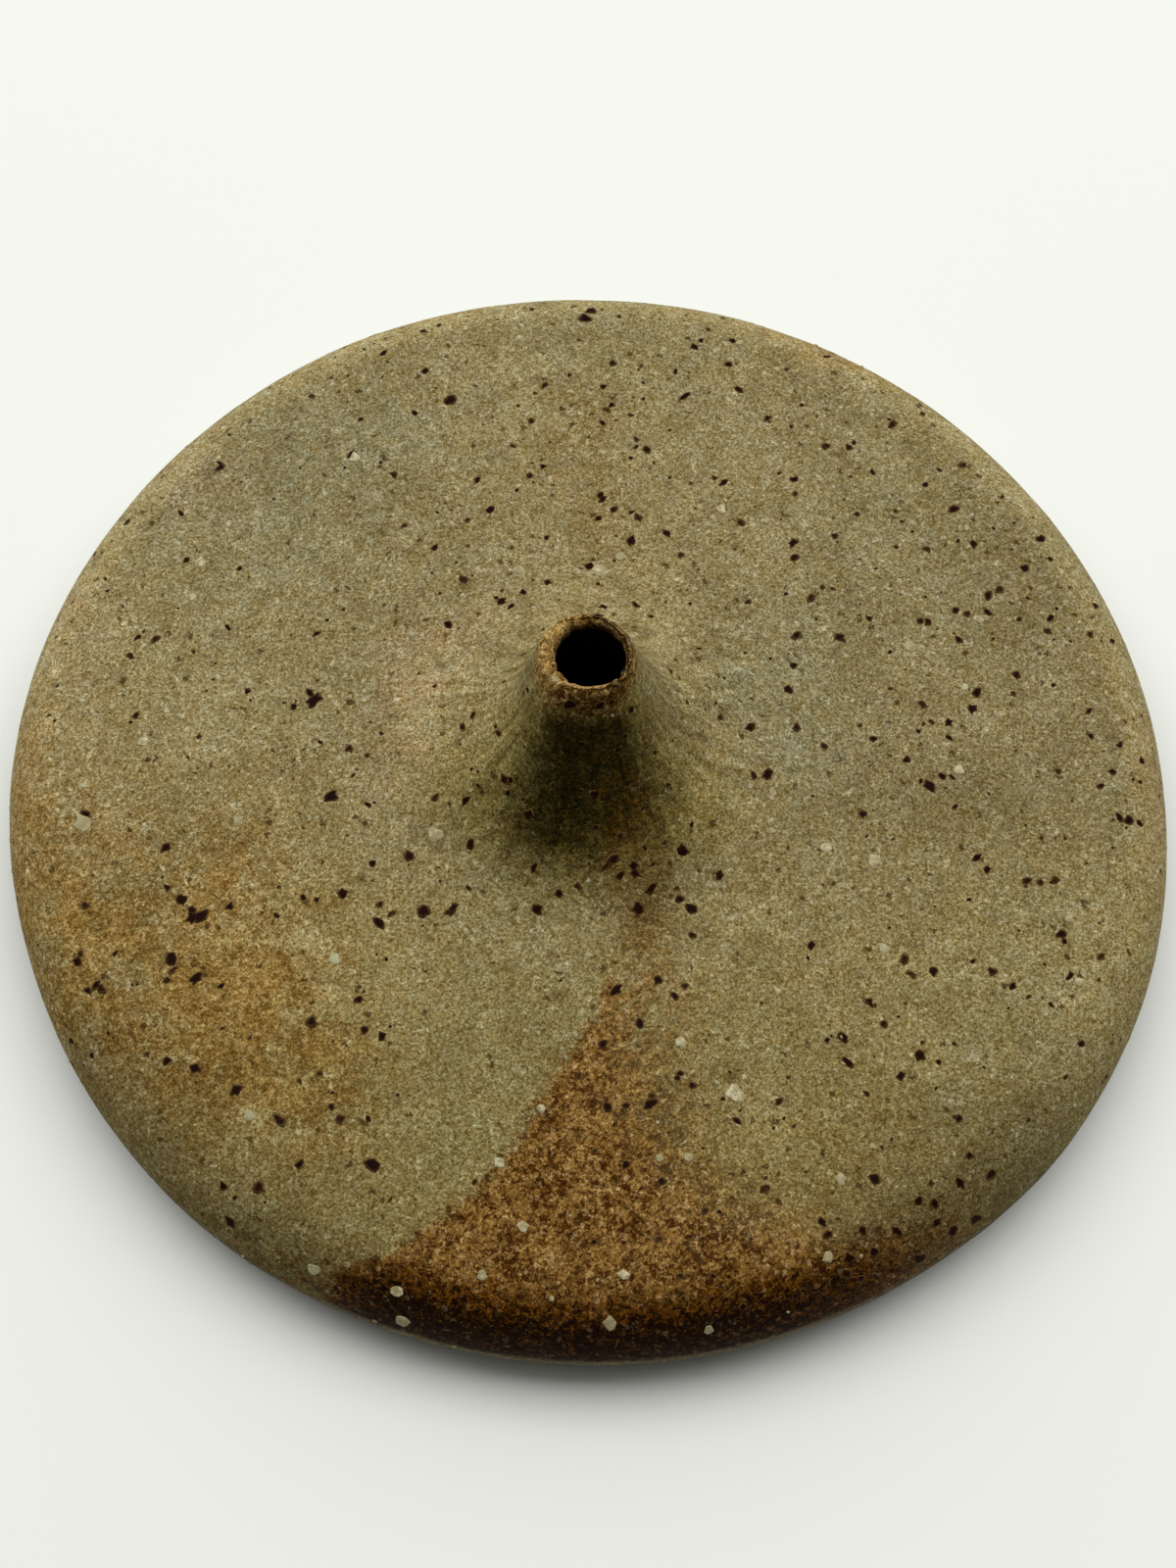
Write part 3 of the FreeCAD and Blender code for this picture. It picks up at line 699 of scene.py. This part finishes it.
class Shader(Nodes):
    """A material; its places are the object's own, in millimetres."""

    def __init__(self, name, roughness, specular=0.02):
        self.material = bpy.data.materials.new(name)
        self.material.use_nodes = True
        super().__init__(self.material.node_tree)
        self.surface = self.tree.nodes["Principled BSDF"]
        self.surface.inputs["Roughness"].default_value = roughness
        self.surface.inputs["Specular IOR Level"].default_value = specular
        self.place = self.scaled(self.node("TexCoord", {}, "Object"), 1 / MM)

    def mix(self, factor, first, second, kind="MIX"):
        inputs = {"Factor": factor, "A": first, "B": second}
        return self.node("Mix", inputs, "Result", data_type="RGBA", blend_type=kind)

    def tinted(self, colour, tint):
        return self.mix(1.0, colour, tint, "MULTIPLY")

    def toned(self, colour, value, window, low, high, contrast=1.0):
        """Multiply a colour by low where the value is below the window and by high above it."""
        low = tuple(1 + (part - 1) * contrast for part in low)
        high = tuple(1 + (part - 1) * contrast for part in high)
        return self.tinted(colour, self.mix(self.smooth(value, *window), low, high))

    def noise(self, scale, detail=2.0, roughness=0.5, place=None, twist=0.0, apart=0.0, output="Fac"):
        """Noise with so many features in a millimetre; apart shifts it to another pattern."""
        place = place or self.place
        if apart:
            place = self.vector("ADD", place, (apart, 0.7 * apart, 1.3 * apart))
        inputs = {"Vector": place, "Scale": scale, "Detail": detail, "Roughness": roughness}
        return self.node("TexNoise", {**inputs, "Distortion": twist}, output)

    def cells(self, scale, place=None):
        """Distance to the nearest random point, and that point's own random number."""
        inputs = {"Vector": place or self.place, "Scale": scale}
        distance = self.node("TexVoronoi", inputs, "Distance")
        colour = distance.node.outputs["Color"]
        return distance, self.node("SeparateColor", {"Color": colour}, "Red")

    def dots(self, scale, share, sizes, softness, place=None):
        """Dots in a share of the cells, with random half widths in millimetres; 1 inside them."""
        distance, number = self.cells(scale, place)
        size = self.smooth(number, 1 - share, 1.0, sizes[0] * scale, sizes[1] * scale)
        chosen = self.math("GREATER_THAN", number, 1 - share)
        soft = softness * scale
        return self.times(self.smooth(self.minus(size, distance), -soft, soft), chosen)

    def layer(self, name):
        """The numbers that write_layer gave the vertices."""
        return self.node("Attribute", {}, "Fac", attribute_name=name)

    def height(self):
        return self.node("SeparateXYZ", {0: self.place}, "Z")

    def shifted(self, amount, scale):
        """The place, pushed about by noise so that outlines become ragged."""
        push = self.noise(scale, output="Color")
        return self.vector("MULTIPLY_ADD", push, (amount, amount, amount), self.place)

    def swept(self, round_axis, along):
        """A place for noise drawn out along the sweep of the neck, and the distance from the axis."""
        flat = self.vector("MULTIPLY", self.place, (1.0, 1.0, 0.0))
        radius = self.vector("LENGTH", flat, output="Value")
        turned = self.scaled(self.vector("NORMALIZE", flat), round_axis)
        travelled = self.times(self.minus(radius, self.height()), along)
        return self.vector("ADD", turned, self.node("CombineXYZ", {"Z": travelled}, "Vector")), radius

    def grain(self):
        """Relief of the clay's sandy skin: coarse and fine grain together."""
        distance, _ = self.cells(3.2)
        pits = self.smooth(distance, 0.1, 0.45)
        return self.plus(self.noise(1.3, 4.0, 0.7), self.times(pits, 0.22))

    def speckled(self, colour, strength=1.0, crumbs=0.75, pale=None):
        """Lay the grain over a colour: fine sand, brown flecks and spots, and pale crumbs."""
        drift = self.noise(0.25, 2.0, 0.6, apart=11.0)
        hue = self.noise(0.6, 4.0, 0.75, twist=0.5, apart=5.0)
        sand = self.noise(2.2, 2.0, 0.7, twist=1.0)
        salt = self.noise(5.2, 1.0, 0.6, twist=0.8, apart=3.0)
        for value, window, low, high in (
            (drift, (0.3, 0.7), (0.88, 0.86, 0.81), (1.09, 1.11, 1.15)),
            (hue, (0.35, 0.65), (1.03, 0.99, 0.9), (0.97, 1.01, 1.08)),
            (sand, (0.33, 0.67), (0.72, 0.67, 0.54), (1.19, 1.24, 1.4)),
            (salt, (0.3, 0.7), (0.54, 0.47, 0.32), (1.42, 1.53, 1.92)),
        ):
            colour = self.toned(colour, value, window, low, high, strength)
        ragged = self.shifted(1.0, 2.6)
        stain = self.dots(0.5, 0.5, (0.2, 0.6), 0.3, ragged)
        colour = self.mix(self.times(stain, 0.3 * strength), colour, BROWN_FLECK)
        brown = self.dots(1.1, 0.3, (0.05, 0.27), 0.07, ragged)
        colour = self.mix(self.times(brown, 0.85 * strength), colour, BROWN_FLECK)
        torn = self.shifted(0.9, 3.4)
        bright = self.mix(0.3, self.tinted(colour, (1.6, 1.8, 2.4)), pale or PALE_FLECK)
        for scale, sizes in ((1.7, (0.08, 0.24)), (2.8, (0.06, 0.16))):
            fleck = self.dots(scale, 0.2, sizes, 0.04, torn)
            colour = self.mix(self.times(fleck, crumbs), colour, bright)
        return colour

    def finish(self, colour, relief, depth, roughness=None):
        """Connect the colour, the relief (its depth in millimetres) and the roughness."""
        bump = {"Strength": 1.0, "Distance": depth * MM, "Height": relief}
        self.feed(self.surface.inputs["Normal"], self.node("Bump", bump, "Normal"))
        self.feed(self.surface.inputs["Base Color"], colour)
        if roughness is not None:
            self.feed(self.surface.inputs["Roughness"], roughness)
        return self.material


KHAKI = (0.27, 0.21, 0.083)
OLIVE = (0.246, 0.198, 0.08)
WARM_BROWN = (0.236, 0.141, 0.035)
PINK_BROWN = (0.305, 0.215, 0.095)
GREY_GREEN = (0.236, 0.204, 0.094)
SHADE_YELLOWED = (0.985, 0.935, 0.62)
FLASH_BROWN = (0.272, 0.143, 0.03)
FLASH_DARK = (0.062, 0.019, 0.001)
TAIL_BROWN = (0.1, 0.052, 0.007)
RIM_BROWN = (0.16, 0.057, 0.004)
# near-black of the rim band: partly dark brown, partly painted shade on the near rim
DARK_BROWN_AND_SHADE = (0.009, 0.0025, 0.0003)
# painted shade: dark green and dark brown laid on the near side of the neck, where its shadow falls
NECK_SHADE = (0.014, 0.012, 0.001)
BROWN_NECK_SHADE = (0.062, 0.034, 0.003)
LOW_RIM = (0.165, 0.132, 0.062)
LIP_GOLD = (0.39, 0.235, 0.066)
LIP_DARK = (0.064, 0.027, 0.002)
# painted shade: near-black for the bore below BORE_SHOWN and the hidden inside
BORE_SHADE = (0.001, 0.0006, 0.0004)
PALE_FLECK = (0.52, 0.44, 0.24)
RUST_FLECK = (0.74, 0.54, 0.26)
BROWN_FLECK = (0.045, 0.023, 0.004)
IRON_COLOUR = (0.009, 0.002, 0.001)
IRON_EDGE = (0.045, 0.019, 0.005)
IRON_HALO = (0.13, 0.085, 0.03)
FELDSPAR_WARM = (0.6, 0.53, 0.33)
FELDSPAR_GREEN = (0.48, 0.48, 0.29)
CLAY_DUST = (0.3, 0.245, 0.12)
BARE_CLAY = (0.33, 0.25, 0.15)
TOASTED_CLAY = (0.28, 0.165, 0.075)
DARK_SLIP = (0.2, 0.125, 0.065)
PALE_SLIP = (0.3, 0.21, 0.12)

# Soft zones of the ground: layer, colour and strength.
BLUSHES = (("grey", GREY_GREEN, 0.9), ("warm", WARM_BROWN, 0.9), ("pink", PINK_BROWN, 0.85))


class Stoneware(Shader):
    """Wood-fired clay: khaki with soft blushes, a brown flash, a dark near rim that is partly brown
    and partly painted shade, a brown lip, and painted shade below the neck and in the bore.
    """

    def __init__(self):
        super().__init__("stoneware", 0.62)
        self.drawn_out, self.radius = self.swept(11.0, 0.16)
        self.clots = self.noise(1.9, 4.0, 0.8, twist=0.8)
        self.clouds = self.noise(0.45, 3.0, 0.7, twist=0.6, apart=4.0)
        self.rust = self.plus(self.times(self.clots, 0.75), self.times(self.clouds, 0.35))
        self.torn = self.minus(self.noise(0.8, 6.0, 0.8), 0.5)
        self.grit = self.minus(self.noise(2.3, 3.0, 0.75, twist=1.0, apart=9.0), 0.5)
        self.ragged = self.plus(self.times(self.torn, 5.5), self.times(self.grit, 3.5))

    def ground(self):
        """Olive and khaki under the blushes, of which the warm one is patchy."""
        wide = self.noise(0.06, 3.0, 0.55)
        colour = self.mix(self.smooth(wide, 0.34, 0.66), OLIVE, KHAKI)
        uneven = self.smooth(self.noise(0.3, 5.0, 0.7), 0.3, 0.7, 0.35, 1.4)
        for name, tint, strength in BLUSHES:
            amount = self.times(self.layer(name), uneven)
            colour = self.mix(self.smooth(amount, 0.02, 1.1, 0.0, strength), colour, tint)
        # painted shade tint: less blue where shade falls
        colour = self.mix(self.layer("shade_yellowing"), colour, self.tinted(colour, SHADE_YELLOWED))
        patchy = self.toned(colour, self.rust, (0.46, 0.63), (0.62, 0.53, 0.37), (1.2, 1.27, 1.42))
        return self.mix(self.smooth(self.layer("warm"), 0.1, 0.9), colour, patchy)

    def flash_cover(self):
        """Where the flash lies: it has a crisp side, a soft side and a patchy tip."""
        crisp = self.smooth(self.plus(self.layer("flash_crisp"), self.ragged), -0.6, 0.8)
        soft = self.plus(self.layer("flash_soft"), self.times(self.ragged, 1.8))
        tip = self.minus(self.clouds, self.smooth(self.radius, 20.0, 34.0, 0.06, -0.2))
        cover = self.times(crisp, self.smooth(soft, -8.0, 6.0))
        return self.times(cover, self.smooth(tip, 0.4, 0.52))

    def flash_colour(self):
        colour = self.mix(self.smooth(self.rust, 0.48, 0.595), FLASH_DARK, FLASH_BROWN)
        gritty = self.toned(colour, self.grit, (-0.12, 0.12), (0.62, 0.55, 0.42), (1.3, 1.42, 1.7))
        return self.mix(0.8, colour, gritty)

    def add_neck_shade(self, colour, flash_colour):
        """Lay the painted shade on the near side of the neck, with the brown streak, over a colour;
        give the shade's cover too.
        """
        streak = self.plus(self.layer("streak"), self.times(self.ragged, 0.35))
        brownish = self.plus(streak, self.smooth(self.rust, 0.5, 0.62, -0.3, 0.5))
        shaded_colour = self.mix(self.smooth(brownish, 0.1, 1.2), NECK_SHADE, BROWN_NECK_SHADE)
        shaded_colour = self.toned(shaded_colour, self.clots, (0.36, 0.62), (0.45, 0.45, 0.4), (1.75, 1.6, 1.5))
        shade_edge = self.smooth(self.layer("neck_shade"), 0.0, 0.2, 0.0, 0.3)
        neck_shade_cover = self.plus(self.layer("neck_shade"), self.times(self.ragged, shade_edge))
        neck_shade_cover = self.smooth(neck_shade_cover, -0.02, 1.02)
        # painted shade in front of the neck, with a ragged edge
        colour = self.mix(self.times(neck_shade_cover, 0.975), colour, shaded_colour)
        streak = self.smooth(streak, 0.1, 1.1, 0.0, 0.75)
        streak = self.times(streak, self.smooth(neck_shade_cover, 0.0, 1.0, 1.0, 0.15))
        brown = self.mix(self.smooth(self.radius, 15.5, 20.0), TAIL_BROWN, flash_colour)
        return self.mix(streak, colour, brown), neck_shade_cover

    def darken_rim_band(self, colour):
        """Lay the dark rim band, partly brown and partly painted shade, and the bare lower rim over a
        colour; give the band's cover too.
        """
        band_and_shade = self.layer("rim_shade_band")
        dark = self.smooth(self.plus(band_and_shade, self.times(self.ragged, 0.34)), 0.15, 0.85)
        dark = self.times(dark, self.smooth(band_and_shade, 0.0, 0.2))
        rusty = self.smooth(self.minus(self.clots, self.times(band_and_shade, 0.1)), 0.34, 0.54)
        colour = self.mix(dark, colour, self.mix(rusty, DARK_BROWN_AND_SHADE, RIM_BROWN))
        low_edge = self.plus(self.height(), self.times(self.torn, 1.6))
        return self.mix(self.smooth(low_edge, 5.9, 4.9), colour, LOW_RIM), dark

    def brown_lip(self, colour):
        """Lay the golden and dark brown of the lip over a colour; give its layer too."""
        lip = self.layer("lip_cover")
        torn_lip = self.plus(lip, self.times(self.ragged, self.smooth(lip, 0.0, 0.1, 0.0, 0.3)))
        # the lip's own gold, with painted light at the near edge of the bore and painted shade on the
        # near outside
        golden = self.plus(self.clots, self.times(self.layer("lip_gold_and_light"), 0.2))
        brown = self.mix(self.smooth(golden, 0.55, 0.68), LIP_DARK, LIP_GOLD)
        return self.mix(self.smooth(torn_lip, 0.1, 0.95), colour, brown), lip

    def fired(self):
        """The finished material, built up from the ground to the grain."""
        flash = self.flash_cover()
        flash_colour = self.flash_colour()
        colour = self.mix(flash, self.ground(), flash_colour)
        colour, neck_shade_cover = self.add_neck_shade(colour, flash_colour)
        # dark rim band: partly brown, partly painted shade on the near rim
        colour, dark = self.darken_rim_band(colour)
        # brightness of the clay: partly fired tone, partly painted light and shade
        colour = self.tinted(colour, self.layer("tone_and_light"))

        # colour follows the pleats' relief: partly streaked clay, partly painted shade in the grooves
        # and painted light on the ridges
        pleats = self.noise(1.0, 4.0, 0.65, self.drawn_out)
        on_sweep = self.smooth(self.radius, 19.0, 9.0)
        pleat_streaks_and_shade = self.mix(self.smooth(pleats, 0.35, 0.65), (0.74, 0.71, 0.62), (1.24, 1.25, 1.25))
        colour = self.mix(on_sweep, colour, self.tinted(colour, pleat_streaks_and_shade))
        colour, lip = self.brown_lip(colour)

        pale = self.mix(self.larger(flash, dark), PALE_FLECK, RUST_FLECK)
        # fewer pale crumbs under the painted shade of the neck and the near rim, and on the brown lip
        shade_or_cover = self.larger(self.larger(neck_shade_cover, self.times(dark, 0.8)), self.times(lip, 0.7))
        colour = self.speckled(colour, 1.0, self.smooth(shade_or_cover, 0.2, 1.0, 0.75, 0.25), pale)
        # painted shade: the bore below BORE_SHOWN is painted near-black
        colour = self.mix(self.layer("inside"), colour, BORE_SHADE)
        roughness = self.smooth(flash, 0.0, 1.0, 0.68, 0.55)
        relief = self.plus(self.grain(), self.times(self.times(pleats, on_sweep), 1.3))
        return self.finish(colour, relief, 0.14, roughness)


def bare_clay_material():
    """Turned clay under the holder, paler and drier than the fired top, toasted in patches."""
    shader = Shader("bare_clay", 0.85)
    toast = shader.smooth(shader.noise(0.07, 4.0, 0.6), 0.35, 0.65)
    colour = shader.mix(toast, BARE_CLAY, TOASTED_CLAY)
    return shader.finish(shader.speckled(colour, 0.8, 0.6), shader.grain(), 0.09)


def slip_material():
    """Smoothed slip: finer and a little darker than the clay."""
    shader = Shader("dried_slip", 0.8)
    smear = shader.noise(0.6, 4.0, 0.6)
    colour = shader.mix(shader.smooth(smear, 0.3, 0.7), DARK_SLIP, PALE_SLIP)
    return shader.finish(shader.speckled(colour, 0.5, 0.4), shader.grain(), 0.05)


def feldspar_material():
    """Dull mineral grains, cream to pale green, with clay dust in their hollows."""
    shader = Shader("feldspar", 0.55, 0.1)
    stain = shader.noise(0.11, 1.0, 0.5)
    colour = shader.mix(shader.smooth(stain, 0.35, 0.65), FELDSPAR_WARM, FELDSPAR_GREEN)
    age = shader.noise(0.17, 1.0, 0.5, apart=8.0)
    colour = shader.toned(colour, age, (0.38, 0.6), (0.66, 0.64, 0.55), (1.0, 1.0, 1.0))
    dust = shader.smooth(shader.noise(1.7, 4.0, 0.8), 0.42, 0.6)
    return shader.finish(shader.mix(dust, CLAY_DUST, colour), shader.noise(4.0, 3.0, 0.6), 0.06)


def iron_material():
    """Melted iron: nearly black in the middle of a spot and brown where it thins at the edge."""
    shader = Shader("iron_spot", 0.5, 0.02)
    ragged = shader.minus(shader.noise(4.0, 3.0, 0.75), 0.5)
    core = shader.plus(shader.layer("core"), shader.times(ragged, 1.2))
    colour = shader.mix(shader.smooth(core, 0.05, 0.45), IRON_HALO, IRON_EDGE)
    colour = shader.mix(shader.smooth(core, 0.4, 0.75), colour, IRON_COLOUR)
    return shader.finish(colour, shader.noise(3.0, 2.0, 0.5), 0.04)


# --- pieces ---
def keep(piece, slot, *nodes):
    """Make a piece part of the object."""
    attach(piece, "root")
    if nodes:
        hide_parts(*nodes)
    return piece


def make_top():
    section = TopProfile()
    vertices, faces = turned_mesh(
        section.points, AROUND, lambda index, angle: place_top(section, index, angle)
    )
    piece = make_object("thrown_top_clay", vertices, faces, Stoneware().fired())
    paint_zones(piece, section)
    keep(piece, "stoneware", "thrown_top")
    outside = []
    for part in section.parts:
        outside.extend([part not in ("inside", "bore", "underside")] * AROUND)
    return Surface(vertices, faces, outside)


def make_slab():
    """The turned slab, with the rings of the turning tool and a softened foot."""
    recess = SLAB_RADIUS - FOOT_WIDTH
    axis = 0.001
    rounding = FOOT_ROUNDING
    profile = line((axis, SLAB_THICKNESS), (SLAB_RADIUS, SLAB_THICKNESS), 12)
    profile += line((SLAB_RADIUS, SLAB_THICKNESS), (SLAB_RADIUS, rounding), 6)
    profile += arc((SLAB_RADIUS - rounding, rounding), rounding, 0, -90, 4)
    profile += line((SLAB_RADIUS - rounding, 0), (recess + rounding, 0), 8)
    profile += arc((recess + rounding, rounding), rounding, 270, 180, 4)
    profile += arc((recess - rounding, FOOT_RECESS - rounding), rounding, 0, 90, 4)
    profile += line((recess - rounding, FOOT_RECESS), (axis, FOOT_RECESS), 150)
    normals = profile_normals(profile)

    def place(index, angle):
        radius, height = profile[index]
        across, up = normals[index]
        spot = Vector((radius * cos(angle), radius * sin(angle), height))
        push = -0.03 + noise.noise(spot / 3.0) * 0.03
        if height == FOOT_RECESS:
            turns = (radius + angle / (2 * pi) * TURNING_PITCH) / TURNING_PITCH
            push -= TURNING_DEPTH * sin(2 * pi * turns) ** 2 * smooth(radius, 0.5, 3.0)
        if height > 0.5 * SLAB_THICKNESS:
            push = 0.0
        radius += push * across
        return (radius * cos(angle), radius * sin(angle), max(height + push * up, 0.0))

    vertices, faces = turned_mesh(profile, SLAB_AROUND, place)
    piece = make_object("turned_slab", vertices, faces, bare_clay_material())
    return keep(piece, "bare_stoneware", "base_slab")


def make_slip():
    """Slip in the seam, smoothed into the corner below the rim with a fingertip."""
    inner = SLAB_RADIUS + SLIP_CLEARANCE
    outer = SLAB_RADIUS + SEAM_GAP - SLIP_CLEARANCE
    hollow = SLAB_RADIUS + SEAM_GAP - LEDGE_WIDTH
    bead_edge = SLAB_RADIUS + SEAM_GAP + BEAD_WIDTH
    corners = [
        ((hollow, SLAB_THICKNESS), 1),
        ((hollow, LEDGE_HEIGHT), 3),
        ((outer, LEDGE_HEIGHT), 3),
        ((outer, FOOT_HEIGHT), 3),
        ((bead_edge, FOOT_HEIGHT), 8),
        ((inner, FOOT_HEIGHT - BEAD_HEIGHT), 3),
        ((inner, SLAB_THICKNESS), 3),
    ]
    profile = []
    for k, (corner, steps) in enumerate(corners):
        profile += line(corner, corners[(k + 1) % len(corners)][0], steps)

    def place(index, angle):
        radius, height = profile[index]
        x, y = radius * cos(angle), radius * sin(angle)
        if height < FOOT_HEIGHT and radius > inner:
            height += 0.12 * noise.noise(Vector((x, y, 0)) / 1.7) + 0.05
        return (x, y, min(height, LEDGE_HEIGHT))

    vertices, faces = turned_mesh(profile, SLIP_AROUND, place)
    piece = make_object("smoothed_slip", vertices, faces, slip_material())
    return keep(piece, "dried_slip", "luting_slip")


def make_feldspar(surface):
    chance = random.Random(SEED)
    bed = GrainBed()
    for middle, width in cad_grains():
        spot = surface.at_nearest(middle + Vector((0, 0, 2)))
        bed.add(spot, feldspar_rings(0.82 * width), 9, chance, 0.3)
    piece = make_object("feldspar_grains", bed.vertices, bed.faces, feldspar_material(), False)
    keep(piece, "feldspar", "feldspar_chips")

    small = GrainBed()
    for across, down, width in SMALL_CHIPS:
        spot = surface.at_pixel(across, down)
        small.add(spot, feldspar_rings(0.085 * width), 8, chance, 0.3)
    for _ in range(RANDOM_CHIPS):
        spot = surface.anywhere(chance)
        rings = feldspar_rings(chance.uniform(0.25, 0.5))
        small.add(spot, rings, 6, chance, 0.25, chance.uniform(0.8, 1.25))
    piece = make_object("small_feldspar", small.vertices, small.faces, feldspar_material(), False)
    keep(piece, "feldspar")


def make_iron(surface):
    chance = random.Random(SEED + 1)
    bed = GrainBed()
    core = []

    def add(spot, width, sides, raggedness):
        bed.add(spot, iron_rings(width), sides, chance, raggedness, chance.uniform(0.78, 1.28))
        melted = min(1.0, chance.uniform(0.2, 0.7) + 0.6 * width)
        core.append(melted * IRON_CORE[0])
        for value in IRON_CORE[1:-1]:
            core.extend([melted * value] * sides)
        core.append(melted * IRON_CORE[-1])

    for across, down, width in IRON_SPOTS:
        add(surface.at_pixel(across, down), 0.093 * width, 10, 0.34)
    for _ in range(RANDOM_SPOTS):
        spot = surface.anywhere(chance)
        place = spot[0]
        crowd = 0.7 * noise.noise(place / 14.0) + 0.004 * place.x + 0.002 * place.y
        if chance.random() <= 0.6 + crowd:
            add(spot, 0.2 + 0.4 * chance.random() ** 1.7, 8, 0.36)
    piece = make_object("iron_spots", bed.vertices, bed.faces, iron_material())
    write_layer(piece, "core", core)
    keep(piece, "stoneware")


# --- stage ---
def make_floor():
    shader = Shader("table", 0.9, 0.1)
    shader.feed(shader.surface.inputs["Base Color"], FLOOR_COLOUR)
    _, radius = shader.swept(1.0, 1.0)
    camera_ray = shader.node("LightPath", {}, "Is Camera Ray")
    seen = shader.times(camera_ray, shader.smooth(radius, *FLOOR_FADE))
    white = shader.node("Emission", {"Color": (1.0, 1.0, 1.0)}, "Emission")
    shader.show(shader.surface.outputs["BSDF"], white, seen)
    half = FLOOR_HALF
    corners = [(-half, -half, 0), (half, -half, 0), (half, half, 0), (-half, half, 0)]
    floor = make_object("table", corners, [(0, 1, 2, 3)], shader.material, False)
    floor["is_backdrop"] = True


def make_light():
    """A broad window beyond the holder, with a dimmer room on the viewer's side."""
    world = bpy.data.worlds.new("room")
    scene.world = world
    world.use_nodes = True
    nodes = Nodes(world.node_tree)
    room = nodes.tree.nodes["Background"]
    rise = radians(ROOM_RISE)
    direction = nodes.node("TexCoord", {}, "Generated")
    window_way = (0.0, cos(rise), sin(rise))
    towards_window = nodes.vector("DOT_PRODUCT", direction, window_way, output="Value")
    nodes.feed(room.inputs["Strength"], nodes.smooth(towards_window, *ROOM_RAMP))
    nodes.feed(room.inputs["Color"], (1.0, 1.0, 1.0))

    # seen directly, mirrored or through a piece, the room is plain white
    white = nodes.node("Background", {"Color": (1.0, 1.0, 1.0)}, "Background")
    rays = nodes.tree.nodes.new("ShaderNodeLightPath").outputs
    seen = nodes.larger(rays["Is Camera Ray"], rays["Is Glossy Ray"])
    seen = nodes.larger(seen, rays["Is Transmission Ray"])
    nodes.show(room.outputs["Background"], white, seen)

    lamp = bpy.data.lights.new("window", "AREA")
    lamp.shape = "RECTANGLE"
    lamp.size, lamp.size_y = WINDOW_SIZE
    lamp.energy = WINDOW_POWER
    window = bpy.data.objects.new("window", lamp)
    rise, turn = radians(WINDOW_RISE), radians(WINDOW_TURN)
    flat = cos(rise)
    towards = Vector((-sin(turn) * flat, cos(turn) * flat, sin(rise)))
    window.location = towards * WINDOW_DISTANCE
    window.rotation_euler = towards.to_track_quat("Z", "Y").to_euler()
    scene.collection.objects.link(window)


def make_camera():
    place, forward, _ = camera_axes()
    lens = bpy.data.cameras.new("photo")
    lens.lens = LENS
    lens.sensor_width = SENSOR
    lens.clip_start = 0.01
    camera = bpy.data.objects.new("photo", lens)
    camera.location = place * MM
    camera.rotation_euler = forward.to_track_quat("-Z", "Y").to_euler()
    scene.collection.objects.link(camera)
    scene.camera = camera


make_camera()
make_light()
make_floor()
clay = make_top()
make_slab()
make_slip()
make_feldspar(clay)
make_iron(clay)
scene.view_settings.view_transform = "Standard"

boxes = {"cad": cad_bounds, "visual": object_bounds()}
{name: [list(corner) for corner in box] for name, box in boxes.items()}
